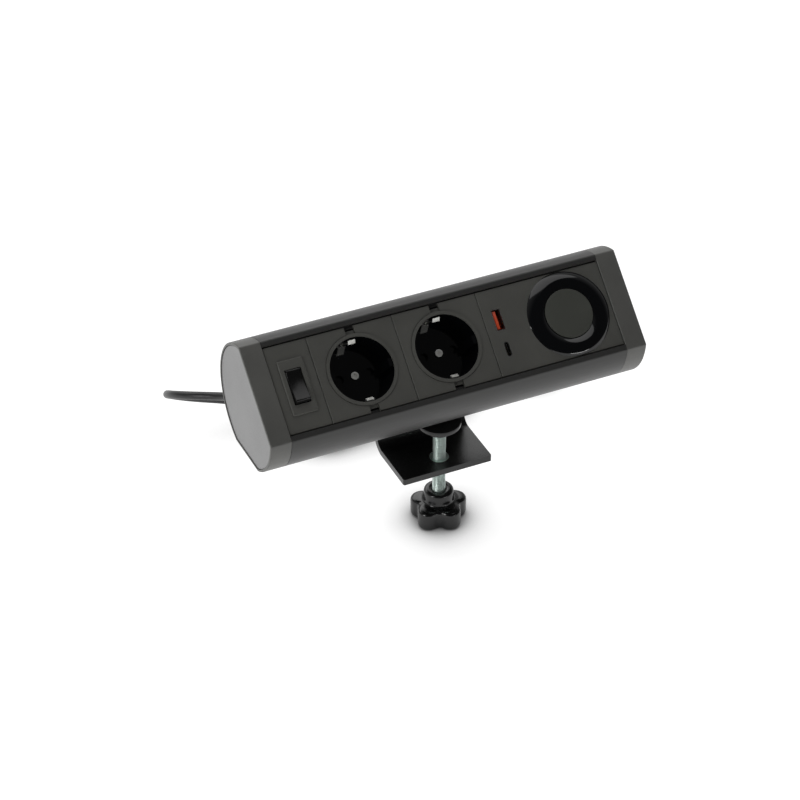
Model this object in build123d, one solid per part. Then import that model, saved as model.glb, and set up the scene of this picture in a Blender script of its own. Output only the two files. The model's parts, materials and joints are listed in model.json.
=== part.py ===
from build123d import *
import math
import os

# Desk power strip on a screw clamp. Millimetres, +Z up, +X along the strip, +Y to its back.
# The origin is on the clamp screw's axis, at the rubber seat that rests on the desk top.

# Strip
LENGTH = 242.0
CAP_DEPTH = 13.0
SECTION_R = 38.6
SECTION_Y = 6.7
SECTION_Z = 40.0
CORNER_R = 1.5
RIM_R = 0.7
SEAM = 0.25
FACE_TILT = 42.16
FACE_SETBACK = 24.0
BOTTOM_Z = 5.0
WALL = 2.0
LIP_SLOT_HALF = 26.9
LEDGE_REACH = 24.7
LEDGE_TOP = -2.9
LEDGE_THICK = 1.5
PORT_ANGLES = (55.0, -15.0, 205.0)
PORT_CIRCLE_R = 34.0
PORT_R = 3.5
PORT_HOLE_R = 1.5

# End caps
CAP_WALL = 2.5
CAP_RIM = 1.6
CAP_WEB_DEPTHS = (8.0, 11.0)
PLATE_CLEARANCE = 0.1
END_PLATE_RECESS = 0.4
CAP_SCREW_HEAD_R = 2.6
CAP_SCREW_HEAD = 1.6
CAP_SCREW_LENGTH = 20.0

# Front modules, by their edges along X
SWITCH_SPAN = (-108.0, -81.0)
SOCKET_SPANS = ((-81.0, -27.0), (-27.0, 27.0))
CHARGER_SPAN = (27.0, 108.0)
PLATE_HALF = 26.3
PLATE_TOP = -0.8
PLATE_GAP = 0.15
PLATE_CHAMFER = 0.3

# Switch
SWITCH_X = -94.5
SWITCH_FRAME = (15.7, 32.8)
SWITCH_OPENING = (10.2, 21.1)
SWITCH_BOX = (13.4, 26.0)
SWITCH_FRAME_TOP = 0.2
SWITCH_BOX_LOW = -13.0
ROCKER_WIDTH = 9.2
ROCKER_R = 10.4
ROCKER_PIVOT = -1.8
ROCKER_TILT = 8.0
ROCKER_DIP = 0.6
ROCKER_END = 1.7
ROCKER_SKIRT = -6.0
ROCKER_PIN_R = 1.0
ROCKER_PIN_LENGTH = 1.2
RUNNING_GAP = 0.05

# Sockets
RING_R = 21.5
WELL_R = 19.5
WELL_WALL = 1.4
WELL_FLOOR = -17.4
FLOOR_THICK = 2.0
NOTCH_WIDTH = 6.0
TAB_REACH = 23.7
TAB_TOP = -1.9
TAB_LOW = -2.8
RING_TOP = -0.3
RING_LOW = -1.5
PIN_OFFSET = 9.5
PIN_HOLE_R = 2.6
RIB_WIDTH = 5.0
RIB_INNER = 17.0
CLIP_WIDTH = 4.5
CLIP_THICK = 0.8
CLIP_LOW = -22.0
SOCKET_SCREW_R = 1.5
SOCKET_SCREW_HEAD_R = 2.3
SOCKET_SCREW_LOW = -28.0
SHUTTER_LOW = -21.0
SHUTTER_THICK = 1.4
BASE_TOP = -22.7
BASE_LOW = -34.0
CONTACT_R = 3.2
CONTACT_BORE_R = 2.5
BAR_TOP = -36.0

# USB ports and charging pad
USB_X = 36.0
USB_A_UP = 7.4
USB_A_MOUTH = (5.1, 12.5)
USB_C_UP = -10.9
USB_C_MOUTH = (2.7, 8.5)
SHELL_WALL = 0.3
BOARD_TOP = -15.2
CHARGER_X = 79.7
CHARGER_RING_R = 26.0
CHARGER_HOLE_R = 25.2
CHARGER_DISC_R = 15.0
DISC_LOW = -0.9
DISC_TOP = 0.9
CHARGER_CROWN = 1.5

# Clamp
JAW_WIDTH = 58.5
STEEL = 4.0
JAW_BACK = 30.0
BEND_R = 7.0
JAW_CORNER_R = 1.2
UPPER_JAW_FRONT = -6.0
LOWER_JAW_FRONT = -12.6
LOWER_JAW_LOW = -33.4
SEAT_THICK = 1.0
SCREW_R = 4.0
BUSH_R = 6.0
NECK_R = 2.6
NECK_TOP = -7.2
SHOULDER_Z = -12.0
CUP_LOW = -11.8
CUP_TOP = -6.2
BALL_R = 5.5
BALL_Z = -7.5
BALL_GAP = 0.3
PAD_R = 13.0
PAD_TOP = -2.5
PAD_RUBBER = 1.0
PAD_STEEL = 2.0
PAD_BOSS_R = 8.0
PAD_BOSS_LOW = -9.5
BRACKET_HOLE_R = 2.1
BRACKET_SCREWS = ((-18.0, 8.0), (18.0, 8.0))
KNOB_HUB_R = 9.2
KNOB_TOP = -53.2
LOBE_TOP = -62.1
KNOB_LOW = -75.0
LOBE_COUNT = 5
LOBE_R = 6.6
LOBE_CIRCLE_R = 11.0
LOBE_ANGLE = 283.2
KNOB_CORE_R = 13.6
INSERT_LOW = -70.5
INSERT_TOP = -55.7
INSERT_R = 6.2

# Mains lead
CORD_R = 2.6
GLAND_X = -99.0
GLAND_ANGLE = -33.0
GLAND_LENGTH = 24.0
GLAND_BODY_R = 5.0
GLAND_RUN = 28.0
FLOOR_Z = KNOB_LOW
HANK_SPAN = (-54.0, 68.0)
HANK_Y = (86.0, 133.0)
HANK_HEIGHT = 15.8
TIE_WIDTH = 9.0
TIE_THICK = 1.2
PLUG_START = (86.0, 122.0, -56.5)
PLUG_TAIL = 14.0
PLUG_LENGTH = 42.0
PLUG_R = 18.5
PLUG_PIN_R = 2.4
PLUG_PIN_LENGTH = 19.0

HALF = LENGTH / 2
BODY_HALF = HALF - CAP_DEPTH
TILT = math.radians(FACE_TILT)
UP = Vector(0, math.cos(TILT), math.sin(TILT))
OUT = Vector(0, -math.sin(TILT), math.cos(TILT))
FACE = Vector(0, SECTION_Y, SECTION_Z) + OUT * FACE_SETBACK
PLATE_LOW = LEDGE_TOP
CAP_WEB = (BODY_HALF + CAP_WEB_DEPTHS[0], BODY_HALF + CAP_WEB_DEPTHS[1])
FAR = 50.0


def face_point(x, up=0.0, out=0.0):
    """A point given by its place along the strip, up the front face and out of it."""
    return FACE + Vector(x, 0, 0) + UP * up + OUT * out


def slab(sketch, x, up, low, high):
    """A sketch laid on the front face and extruded outwards from low to high."""
    plane = Plane(origin=face_point(x, up, low), x_dir=(1, 0, 0), z_dir=OUT)
    return extrude(plane * sketch, amount=high - low, dir=OUT)


def rib(sketch, x_low, x_high):
    """A sketch of (up, out) coordinates extruded along X."""
    plane = Plane(origin=face_point(x_low), x_dir=UP, z_dir=(1, 0, 0))
    return extrude(plane * sketch, amount=x_high - x_low, dir=(1, 0, 0))


def prism(sketch, x_low, x_high):
    """A sketch of (y, z) coordinates extruded along X."""
    return extrude(Plane.YZ.offset(x_low) * sketch, amount=x_high - x_low, dir=(1, 0, 0))


def upright(sketch, low, high):
    """A sketch of (x, y) coordinates extruded along Z."""
    return extrude(Pos(0, 0, low) * sketch, amount=high - low, dir=(0, 0, 1))


def polygon(*points):
    return make_face(Polyline(*points, close=True))


def section(inset=0.0):
    """The strip's outline in (y, z): a circle cut by the sloping face and the flat bottom."""
    disc = Pos(SECTION_Y, SECTION_Z) * Circle(SECTION_R - inset)
    half_plane = Rectangle(4 * FAR, 2 * FAR)
    beyond_face = Pos(FACE.Y, FACE.Z) * Rot(0, 0, FACE_TILT) * Pos(0, FAR - inset) * half_plane
    below = Pos(SECTION_Y, BOTTOM_Z + inset - FAR) * half_plane
    outline = disc - beyond_face - below
    return fillet(outline.vertices(), CORNER_R) if inset == 0 else outline


def face_strip(up_low, up_high, low, high):
    """A rectangle in (y, z) whose sides run up the face and out of it."""
    middle = Pos((up_low + up_high) / 2, (low + high) / 2)
    return Pos(FACE.Y, FACE.Z) * Rot(0, 0, FACE_TILT) * middle * Rectangle(up_high - up_low, high - low)


def port_places():
    return [Pos(SECTION_Y, SECTION_Z) * Rot(0, 0, angle) * Pos(PORT_CIRCLE_R, 0) for angle in PORT_ANGLES]


def radial_plane(x, angle, radius):
    """A plane that faces out of the round back, at an angle about the section's centre."""
    turn = math.radians(angle)
    outward = Vector(0, math.cos(turn), math.sin(turn))
    return Plane(origin=Vector(x, SECTION_Y, SECTION_Z) + outward * radius, x_dir=(1, 0, 0), z_dir=outward)


def housing_profile():
    shell = section() - section(WALL) - face_strip(-LIP_SLOT_HALF, LIP_SLOT_HALF, LEDGE_TOP, FAR)
    for low, high in ((LEDGE_REACH, FAR), (-FAR, -LEDGE_REACH)):
        shell += face_strip(low, high, LEDGE_TOP - LEDGE_THICK, LEDGE_TOP) & section(WALL / 2)
    for place in port_places():
        shell += (place * Circle(PORT_R)) & section(WALL / 2)
    for place in port_places():
        shell -= place * Circle(PORT_HOLE_R)
    body = prism(shell, -BODY_HALF, BODY_HALF)
    body -= radial_plane(GLAND_X, GLAND_ANGLE, SECTION_R) * Cylinder(GLAND_BODY_R, 4 * WALL)
    for x, y in BRACKET_SCREWS:
        body -= Pos(x, y, BOTTOM_Z) * Cylinder(BRACKET_HOLE_R, 4 * WALL)
    return body


def end_cap():
    cap = prism(section(), BODY_HALF, HALF)
    cap = fillet(cap.faces().sort_by(Axis.X)[-1].edges(), RIM_R)
    cap = chamfer(cap.faces().sort_by(Axis.X)[0].edges(), SEAM)
    cap -= prism(section(CAP_WALL), BODY_HALF, CAP_WEB[0])
    cap -= prism(section(CAP_RIM), CAP_WEB[1], HALF)
    for place in port_places():
        cap -= prism(place * Circle(PORT_HOLE_R + 0.1), BODY_HALF, HALF)
        cap -= prism(place * Circle(CAP_SCREW_HEAD_R + 0.1), CAP_WEB[1] - CAP_SCREW_HEAD - 0.1, HALF)
    return cap


def end_plate():
    plate = prism(section(CAP_RIM + PLATE_CLEARANCE), CAP_WEB[1], HALF - END_PLATE_RECESS)
    outer = plate.faces().sort_by(Axis.X)[-1]
    return chamfer(outer.edges(), 0.3)


def end_cap_screws():
    screws = []
    for place in port_places():
        head = prism(place * Circle(CAP_SCREW_HEAD_R), CAP_WEB[1] - CAP_SCREW_HEAD, CAP_WEB[1])
        shank_r = PORT_HOLE_R - RUNNING_GAP
        screw = head + prism(place * Circle(shank_r), CAP_WEB[1] - CAP_SCREW_LENGTH, CAP_WEB[1])
        screws += [screw, mirror(screw, Plane.YZ)]
    return Compound(screws)


def module_plate(span):
    width = span[1] - span[0] - 2 * PLATE_GAP
    plate = slab(Rectangle(width, 2 * PLATE_HALF), sum(span) / 2, 0, PLATE_LOW, PLATE_TOP)
    top = plate.faces().sort_by(Axis((0, 0, 0), OUT))[-1]
    return chamfer(top.edges(), PLATE_CHAMFER)


def switch_plate():
    opening = Rectangle(SWITCH_BOX[0] + 0.4, SWITCH_BOX[1] + 0.4)
    return module_plate(SWITCH_SPAN) - slab(opening, SWITCH_X, 0, PLATE_LOW - 1, PLATE_TOP + 1)


def switch_frame():
    frame = slab(RectangleRounded(*SWITCH_FRAME, 0.8), SWITCH_X, 0, PLATE_TOP, SWITCH_FRAME_TOP)
    top = frame.faces().sort_by(Axis((0, 0, 0), OUT))[-1]
    frame = chamfer(top.edges(), 0.4)
    frame += slab(Rectangle(*SWITCH_BOX), SWITCH_X, 0, SWITCH_BOX_LOW, PLATE_TOP)
    frame -= slab(Rectangle(*SWITCH_OPENING), SWITCH_X, 0, SWITCH_BOX_LOW + 1.5, FAR)
    bearing = Pos(0, ROCKER_PIVOT) * Circle(ROCKER_PIN_R + RUNNING_GAP)
    reach = ROCKER_WIDTH / 2 + ROCKER_PIN_LENGTH + 0.1
    return frame - rib(bearing, SWITCH_X - reach, SWITCH_X + reach)


def rocker():
    """A button with a shallow V on top and ends that are round about its pivot pin, lower end out."""
    slope = (ROCKER_END - ROCKER_DIP) / ROCKER_R
    edge = ROCKER_DIP + slope * 2 * ROCKER_R
    reach = 2 * ROCKER_R
    top = polygon((-reach, edge), (0, ROCKER_DIP), (reach, edge),
                  (reach, ROCKER_SKIRT), (-reach, ROCKER_SKIRT))
    button = rib((Pos(0, ROCKER_PIVOT) * Circle(ROCKER_R)) & top,
                 SWITCH_X - ROCKER_WIDTH / 2, SWITCH_X + ROCKER_WIDTH / 2)
    pin_end = ROCKER_WIDTH / 2 + ROCKER_PIN_LENGTH
    button += rib(Pos(0, ROCKER_PIVOT) * Circle(ROCKER_PIN_R), SWITCH_X - pin_end, SWITCH_X + pin_end)
    return button.rotate(Axis(face_point(SWITCH_X, 0, ROCKER_PIVOT), (1, 0, 0)), -ROCKER_TILT)


def switch_terminals():
    blades = []
    for x in (-3.4, 3.4):
        for up in (-7.0, 7.0):
            blades.append(slab(Rectangle(0.8, 4.8), SWITCH_X + x, up, SWITCH_BOX_LOW - 8, SWITCH_BOX_LOW))
    return Compound(blades)


def socket_plate(span):
    plate = module_plate(span) - slab(Circle(RING_R + 0.2), sum(span) / 2, 0, PLATE_LOW - 1, FAR)
    notch = Rectangle(NOTCH_WIDTH, 3 * PLATE_HALF)
    return plate - slab(notch, sum(span) / 2, 0, PLATE_LOW - 1, FAR)


def socket_bezel(x):
    """A ring over the well's rim, with a skirt round it and a low tab in each notch."""
    inner = Circle(WELL_R + WELL_WALL + RUNNING_GAP)
    tabs = Rectangle(NOTCH_WIDTH - 0.3, 2 * TAB_REACH)
    bezel = slab(Circle(RING_R) - Circle(WELL_R), x, 0, RING_LOW, RING_TOP)
    bezel += slab(Circle(RING_R) - inner, x, 0, TAB_LOW, RING_LOW)
    return bezel + slab((Circle(RING_R) + tabs) - inner, x, 0, TAB_LOW, TAB_TOP)


def socket_well(x):
    """A cup with a flange under the plate, guide ribs at its sides and slots for the earth clip."""
    outer = WELL_R + WELL_WALL
    well = slab(Circle(outer), x, 0, WELL_FLOOR - FLOOR_THICK, RING_LOW)
    well += slab(Circle(outer + 2.3), x, 0, LEDGE_TOP - LEDGE_THICK, LEDGE_TOP)
    well -= slab(Circle(WELL_R), x, 0, WELL_FLOOR, FAR)
    for side in (-1, 1):
        middle = side * (RIB_INNER + WELL_R + 0.5) / 2
        rib_outline = Pos(middle, 0) * Rectangle(WELL_R + 0.5 - RIB_INNER, RIB_WIDTH)
        well += slab(rib_outline, x, 0, WELL_FLOOR, -2.0)
        well -= slab(Pos(side * PIN_OFFSET, 0) * Circle(PIN_HOLE_R), x, 0, WELL_FLOOR - 3, WELL_FLOOR + 1)
        slot = Pos(0, side * (WELL_R + 0.9)) * Rectangle(CLIP_WIDTH + 0.8, 4.2)
        well -= slab(slot, x, 0, WELL_FLOOR - 3, -2.6)
    return well - slab(Circle(SOCKET_SCREW_R + 0.1), x, 0, WELL_FLOOR - 3, WELL_FLOOR + 1)


def socket_screw(x):
    screw = slab(Circle(SOCKET_SCREW_HEAD_R), x, 0, WELL_FLOOR, WELL_FLOOR + 1.3)
    screw -= slab(Rectangle(3.0, 0.7), x, 0, WELL_FLOOR + 0.7, FAR)
    screw -= slab(Rectangle(0.7, 3.0), x, 0, WELL_FLOOR + 0.7, FAR)
    return screw + slab(Circle(SOCKET_SCREW_R), x, 0, SOCKET_SCREW_LOW, WELL_FLOOR)


def earth_clip(x):
    """One sprung strip that passes under the well's floor and stands up through both slots."""
    side = [(18.6, -2.9), (16.9, -4.8), (20.2, -13.0), (19.9, CLIP_LOW)]
    line = Polyline(*(side + [(-up, out) for up, out in reversed(side)]))
    clip = rib(trace(line, line_width=CLIP_THICK), x - CLIP_WIDTH / 2, x + CLIP_WIDTH / 2)
    return clip - slab(Circle(SOCKET_SCREW_R + 0.2), x, 0, CLIP_LOW - 1, CLIP_LOW + 1)


def shutter(x):
    """A blind under the well's floor that covers both pin holes and slides up the face."""
    blind = Rectangle(25.0, 7.0) - Pos(0, -1.0) * Rectangle(2 * SOCKET_SCREW_R + 0.6, 6.0)
    return slab(blind, x, 0, SHUTTER_LOW, SHUTTER_LOW + SHUTTER_THICK)


def pin_contacts(x):
    sleeves = []
    for side in (-1, 1):
        place = Pos(side * PIN_OFFSET, 0)
        ring = place * (Circle(CONTACT_R - 0.1) - Circle(CONTACT_BORE_R) - Rectangle(0.9, 4 * CONTACT_R))
        sleeve = slab(ring, x, 0, BASE_LOW + 1.2, BASE_TOP)
        sleeve += slab(place * Circle(CONTACT_R - 0.1), x, 0, BASE_LOW, BASE_LOW + 1.2)
        sleeve += slab(place * Circle(1.2), x, 0, BAR_TOP, BASE_LOW)
        sleeves.append(sleeve)
    return Compound(sleeves)


def socket_base(x):
    """The insulating block that holds the two pin contacts and the centre screw."""
    base = slab(RectangleRounded(32.0, 22.0, 3.0), x, 0, BASE_LOW, BASE_TOP)
    base -= slab(Circle(SOCKET_SCREW_R), x, 0, SOCKET_SCREW_LOW, FAR)
    for side in (-1, 1):
        base -= slab(Pos(side * PIN_OFFSET, 0) * Circle(CONTACT_R), x, 0, BASE_LOW - 1, BASE_TOP + 1)
    return base


def bus_bars():
    """Line, neutral and earth bars along the strip, with a tab or riser to each socket."""
    start, end = SWITCH_X + 12, USB_X - 6
    middle, length = (start + end) / 2, end - start
    line = slab(Rectangle(length, 4.0), middle, -8.0, BAR_TOP - 1, BAR_TOP)
    neutral = slab(Rectangle(length, 4.0), middle, 8.0, BAR_TOP - 1, BAR_TOP)
    earth = slab(Rectangle(length, 4.0), middle, 15.0, BAR_TOP - 1, BAR_TOP)
    for span in SOCKET_SPANS:
        x = sum(span) / 2
        line += slab(Rectangle(3.0, 8.0), x - PIN_OFFSET, -4.0, BAR_TOP - 1, BAR_TOP)
        neutral += slab(Rectangle(3.0, 8.0), x + PIN_OFFSET, 4.0, BAR_TOP - 1, BAR_TOP)
        earth += slab(Rectangle(3.0, 1.0), x, 15.0, BAR_TOP, CLIP_LOW - CLIP_THICK / 2)
    return Compound([line, neutral, earth])


def charger_plate():
    plate = module_plate(CHARGER_SPAN)
    grown = 2 * SHELL_WALL + 0.2
    window = Rectangle(USB_A_MOUTH[0] + grown, USB_A_MOUTH[1] + grown)
    plate -= slab(window, USB_X, USB_A_UP, PLATE_LOW - 1, FAR)
    slot = Rot(0, 0, 90) * SlotOverall(USB_C_MOUTH[1] + grown, USB_C_MOUTH[0] + grown)
    plate -= slab(slot, USB_X, USB_C_UP, PLATE_LOW - 1, FAR)
    return plate - slab(Circle(CHARGER_HOLE_R), CHARGER_X, 0, PLATE_LOW - 1, FAR)


def usb_a_shell():
    outer = Rectangle(USB_A_MOUTH[0] + 2 * SHELL_WALL, USB_A_MOUTH[1] + 2 * SHELL_WALL)
    return slab(outer - Rectangle(*USB_A_MOUTH), USB_X, USB_A_UP, BOARD_TOP, PLATE_TOP - 0.1)


def usb_a_tongue():
    """The moulded insert: a block at the shell's back with the contact tongue standing on it."""
    block = slab(Rectangle(*USB_A_MOUTH), USB_X, USB_A_UP, BOARD_TOP, BOARD_TOP + 3.5)
    return block + slab(Rectangle(1.9, 11.0), USB_X - 0.9, USB_A_UP, BOARD_TOP + 3.5, PLATE_TOP - 1.0)


def usb_c_shell():
    outer = SlotOverall(USB_C_MOUTH[1] + 2 * SHELL_WALL, USB_C_MOUTH[0] + 2 * SHELL_WALL)
    ring = Rot(0, 0, 90) * (outer - SlotOverall(USB_C_MOUTH[1], USB_C_MOUTH[0]))
    return slab(ring, USB_X, USB_C_UP, BOARD_TOP, PLATE_TOP - 0.1)


def usb_c_tongue():
    block = Rot(0, 0, 90) * SlotOverall(USB_C_MOUTH[1], USB_C_MOUTH[0])
    tongue = slab(block, USB_X, USB_C_UP, BOARD_TOP, BOARD_TOP + 7.0)
    return tongue + slab(Rectangle(0.7, 6.6), USB_X, USB_C_UP, BOARD_TOP + 7.0, PLATE_TOP - 0.8)


def usb_board():
    board = slab(Rectangle(18.0, 44.0), USB_X + 3, 0, BOARD_TOP - 1.6, BOARD_TOP)
    coil = slab(RectangleRounded(8.0, 8.0, 1.0), USB_X + 4, 14.0, BOARD_TOP - 6.0, BOARD_TOP - 1.6)
    chip = slab(Rectangle(6.0, 6.0), USB_X + 4, 0.0, BOARD_TOP - 2.8, BOARD_TOP - 1.6)
    capacitor = slab(Circle(3.2), USB_X + 4, -13.0, BOARD_TOP - 9.0, BOARD_TOP - 1.6)
    return Compound([board, coil, chip, capacitor])


def charger_ring():
    """A glossy ring, rounded over, that drops into the plate and has a shelf for the disc."""
    crown_r = (CHARGER_RING_R + CHARGER_DISC_R) / 2
    top = make_face([
        ThreePointArc((CHARGER_RING_R, PLATE_TOP), (crown_r, CHARGER_CROWN), (CHARGER_DISC_R + 0.1, 0.2)),
        Polyline((CHARGER_DISC_R + 0.1, 0.2), (CHARGER_DISC_R + 0.1, DISC_LOW), (12.0, DISC_LOW),
                 (12.0, PLATE_LOW), (CHARGER_HOLE_R - 0.1, PLATE_LOW), (CHARGER_HOLE_R - 0.1, PLATE_TOP),
                 (CHARGER_RING_R, PLATE_TOP)),
    ])
    plane = Plane(origin=face_point(CHARGER_X), x_dir=(1, 0, 0), z_dir=-UP)
    return revolve(plane * top, axis=Axis(face_point(CHARGER_X), OUT), revolution_arc=360)


def charger_disc():
    disc = slab(Circle(CHARGER_DISC_R), CHARGER_X, 0, DISC_LOW, DISC_TOP)
    top = disc.faces().sort_by(Axis((0, 0, 0), OUT))[-1]
    return fillet(top.edges(), 0.5)


def charger_carrier():
    cup = slab(Circle(24.4), CHARGER_X, 0, -7.4, PLATE_LOW)
    return cup - slab(Circle(23.2), CHARGER_X, 0, -6.4, FAR)


def charger_coil():
    return slab(Circle(20.5) - Circle(8.0), CHARGER_X, 0, -5.4, -4.1)


def ferrite_sheet():
    return slab(Circle(23.0), CHARGER_X, 0, -6.4, -5.4)


def charger_board():
    board = slab(RectangleRounded(46.0, 40.0, 2.0), CHARGER_X, 0, -11.0, -9.4)
    parts = [board]
    for x, up in ((-19.0, -16.0), (19.0, -16.0), (-19.0, 16.0), (19.0, 16.0)):
        parts.append(slab(Circle(2.0), CHARGER_X + x * 0.75, up * 0.75, -9.4, -7.4))
    parts.append(slab(Rectangle(9.0, 9.0), CHARGER_X, 0, -12.4, -11.0))
    parts.append(slab(Circle(4.0), CHARGER_X + 13, 8.0, -19.0, -11.0))
    return Compound(parts)


def power_supply():
    """A board on four posts with its transformer, capacitors and heat sink."""
    x, y, top = 70.0, 7.0, 13.6
    parts = [Pos(x, y, top - 0.8) * Box(64.0, 38.0, 1.6)]
    for post_x in (x - 28, x + 28):
        for post_y in (y - 12, y + 12):
            low = BOTTOM_Z + WALL
            parts.append(Pos(post_x, post_y, (low + top - 1.6) / 2) * Cylinder(2.5, top - 1.6 - low))
    parts.append(Pos(x - 6, y - 2, top + 8) * Box(20.0, 18.0, 16.0))
    parts.append(Pos(x + 16, y + 8, top + 9) * Cylinder(5.0, 18.0))
    parts.append(Pos(x + 16, y - 8, top + 7) * Cylinder(4.0, 14.0))
    parts.append(Pos(x - 24, y, top + 7) * Box(3.0, 28.0, 14.0))
    return Compound(parts)


def clamp_bracket():
    """One strip of steel bent into a C: upper jaw, spine and lower jaw."""
    upper_low = BOTTOM_Z - STEEL
    inner_y = JAW_BACK - STEEL
    lower_top = LOWER_JAW_LOW + STEEL
    c_shape = polygon((UPPER_JAW_FRONT, BOTTOM_Z), (JAW_BACK, BOTTOM_Z), (JAW_BACK, LOWER_JAW_LOW),
                      (LOWER_JAW_FRONT, LOWER_JAW_LOW), (LOWER_JAW_FRONT, lower_top), (inner_y, lower_top),
                      (inner_y, upper_low), (UPPER_JAW_FRONT, upper_low))
    inner = [v for v in c_shape.vertices() if abs(v.X - inner_y) < 1]
    c_shape = fillet(inner, BEND_R)
    outer = [v for v in c_shape.vertices() if abs(v.X - JAW_BACK) < 1]
    c_shape = fillet(outer, BEND_R + STEEL)
    bracket = prism(c_shape, -JAW_WIDTH / 2, JAW_WIDTH / 2)
    corners = bracket.edges().filter_by(Axis.Z).filter_by(lambda edge: edge.center().Y < 0)
    bracket = fillet(corners, JAW_CORNER_R)
    bracket -= Pos(0, 0, LOWER_JAW_LOW) * Cylinder(BUSH_R, 4 * STEEL)
    for x, y in BRACKET_SCREWS:
        bracket -= Pos(x, y, upper_low) * Cylinder(BRACKET_HOLE_R, 4 * STEEL)
        bracket -= Pos(x, y, upper_low + 1.1) * Cone(4.3, BRACKET_HOLE_R, 2.2)
    return bracket


def jaw_pad():
    front, back = UPPER_JAW_FRONT + 1, JAW_BACK - STEEL - BEND_R - 0.5
    sheet = Pos(0, (front + back) / 2) * RectangleRounded(JAW_WIDTH - 4, back - front, 3.0)
    return upright(sheet, 0, SEAT_THICK)


def bracket_screws():
    upper_low = BOTTOM_Z - STEEL
    screws = []
    for x, y in BRACKET_SCREWS:
        screw = Pos(x, y, upper_low + 1.05) * Cone(4.1, 2.0, 2.1)
        screws.append(screw + Pos(x, y, upper_low + 5.5) * Cylinder(2.0, 11.0))
    return Compound(screws)


def nut_plate():
    low = BOTTOM_Z + WALL
    plate = Pos(0, 8.0, low + 1.5) * Box(52.0, 12.0, 3.0)
    for x, y in BRACKET_SCREWS:
        plate -= Pos(x, y, low + 1.5) * Cylinder(2.0, 8.0)
    return plate


def thread_bush():
    lower_top = LOWER_JAW_LOW + STEEL
    bush = upright(Circle(BUSH_R), LOWER_JAW_LOW - 1.8, lower_top)
    bush += upright(Circle(BUSH_R + 1.5), LOWER_JAW_LOW - 1.8, LOWER_JAW_LOW)
    return bush - upright(Circle(SCREW_R + RUNNING_GAP), LOWER_JAW_LOW - 5, 0)


def clamp_screw():
    screw = upright(Circle(SCREW_R), INSERT_LOW, SHOULDER_Z)
    return screw + upright(Circle(NECK_R), SHOULDER_Z, NECK_TOP)


def pad_cup():
    """The ball that the pressure pad tilts on; the screw's neck turns inside it."""
    ball = Pos(0, 0, BALL_Z) * Sphere(BALL_R)
    ball &= upright(Circle(2 * BALL_R), CUP_LOW, CUP_TOP)
    return ball - upright(Circle(NECK_R + RUNNING_GAP), CUP_LOW - 1, NECK_TOP + 0.2)


def pressure_pad():
    steel_top = PAD_TOP - PAD_RUBBER
    steel_low = steel_top - PAD_STEEL
    pad = upright(Circle(PAD_R), steel_low, steel_top)
    pad = fillet(pad.edges().sort_by(Axis.Z)[:1], 0.8)
    pad += upright(Circle(PAD_BOSS_R), PAD_BOSS_LOW, steel_low)
    socket = Pos(0, 0, BALL_Z) * Sphere(BALL_R + BALL_GAP)
    return pad - (socket & upright(Circle(2 * BALL_R), PAD_BOSS_LOW - 5, steel_low))


def pad_rubber():
    return upright(Circle(PAD_R), PAD_TOP - PAD_RUBBER, PAD_TOP)


def knob():
    """A round hub over five lobes, with the valleys between the lobes rounded."""
    star = Circle(KNOB_CORE_R)
    for index in range(LOBE_COUNT):
        angle = LOBE_ANGLE + index * 360.0 / LOBE_COUNT
        star += Rot(0, 0, angle) * Pos(LOBE_CIRCLE_R, 0) * Circle(LOBE_R)
    star = fillet(star.vertices(), 2.0)
    grip = upright(star, KNOB_LOW, LOBE_TOP)
    rims = grip.faces().filter_by(Axis.Z).edges()
    grip = fillet(rims, 2.0)
    hub = upright(Circle(KNOB_HUB_R), LOBE_TOP, KNOB_TOP)
    hub = fillet(hub.edges().sort_by(Axis.Z)[-1:], 2.0)
    body = grip + hub
    return body - upright(Circle(INSERT_R), INSERT_LOW, KNOB_TOP + 1)


def knob_insert():
    insert = upright(Circle(INSERT_R), INSERT_LOW, INSERT_TOP)
    return insert - upright(Circle(SCREW_R), INSERT_LOW, INSERT_TOP)


def cable_gland():
    """A nut inside the wall, a collar outside it and a tapered strain relief."""
    plane = radial_plane(GLAND_X, GLAND_ANGLE, SECTION_R)
    nut = extrude(plane.offset(-WALL - 4.0) * RegularPolygon(6.5, 6), amount=3.0)
    body = extrude(plane.offset(-WALL - 1.0) * Circle(GLAND_BODY_R), amount=WALL + 2.0)
    collar = extrude(plane.offset(0.4) * Circle(6.5), amount=3.6)
    taper = loft([plane.offset(4.0) * Circle(4.6), plane.offset(GLAND_LENGTH) * Circle(CORD_R + 0.6)])
    return nut + body + collar + taper


def cord_tube(points, name):
    """Straight runs joined by arcs that are as large as the shorter run on each side allows."""
    route = [Vector(*point) for point in points]
    radii = []
    for before, corner, after in zip(route, route[1:], route[2:]):
        turn = math.radians((corner - before).get_angle(after - corner))
        radii.append(0.45 * min((corner - before).length, (after - corner).length) / math.tan(turn / 2))
    path = FilletPolyline(*route, radius=radii)
    tube = sweep(Plane(origin=path @ 0, z_dir=path % 0) * Circle(CORD_R), path=path)
    print(name, "radii", [round(r, 1) for r in radii], "length", round(path.length, 1),
          "volume ratio", round(tube.volume / (math.pi * CORD_R ** 2 * path.length), 4))
    return tube


def lead_points():
    """From the gland back and down, round to the left, and back behind the strip to the hank."""
    exit_plane = radial_plane(GLAND_X, GLAND_ANGLE, SECTION_R + GLAND_LENGTH)
    tip = exit_plane.origin
    first = tip + exit_plane.z_dir * GLAND_RUN
    return [
        (tip.X, tip.Y, tip.Z),
        (first.X, first.Y, first.Z),
        (-127.0, 105.5, -14.8),
        (-127.7, 131.3, -30.5),
        (-106.5, 141.5, -46.9),
        (-77.5, 132.5, -52.0),
        (-58.0, 131.0, -64.5),
        (-36.0, 130.0, -71.8),
    ]


def mains_cord():
    return cord_tube(lead_points(), "mains_cord")


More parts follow.
